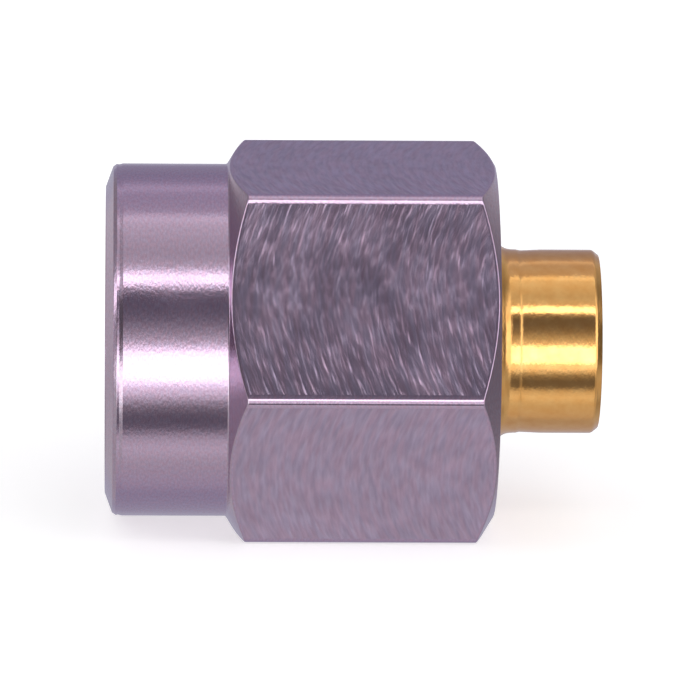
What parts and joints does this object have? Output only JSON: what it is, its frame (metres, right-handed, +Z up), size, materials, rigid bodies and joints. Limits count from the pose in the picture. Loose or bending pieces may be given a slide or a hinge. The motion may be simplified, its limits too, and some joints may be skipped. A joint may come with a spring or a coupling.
{
  "type": "coaxial cable plug",
  "caption": "Straight SMA size coaxial plug with a captive hexagon coupling nut and a gold-plated solder tail for semi-rigid cable.",
  "frame": {"origin": "on the connector's axis, in the mating plane at the tip of the outer contact", "axes": "+X along the axis towards the cable, +Z up from the hexagon's flat that the plug lies on"},
  "size_m": [0.0109, 0.0092, 0.008],
  "materials": {
    "nut_steel": "passivated, fine brushed flats and a turned collar",
    "gold_plate": "bright gold plate over turned brass",
    "insulator_white": "white PTFE, slightly translucent",
    "gasket_red": "matt silicone rubber",
    "ring_bronze": "plain bronze spring wire"
  },
  "bodies": {
    "plug_body": {"body": "gold_plate", "insulator": "insulator_white", "centre_contact": "gold_plate", "gasket": "gasket_red", "retaining_ring": "ring_bronze"},
    "nut": {"coupling_nut": "nut_steel"}
  },
  "joints": [
    {"name": "nut_spin", "type": "hinge", "parent": "plug_body", "child": "nut", "pos_m": [0, 0, 0], "axis": [1, 0, 0], "continuous": true}
  ]
}
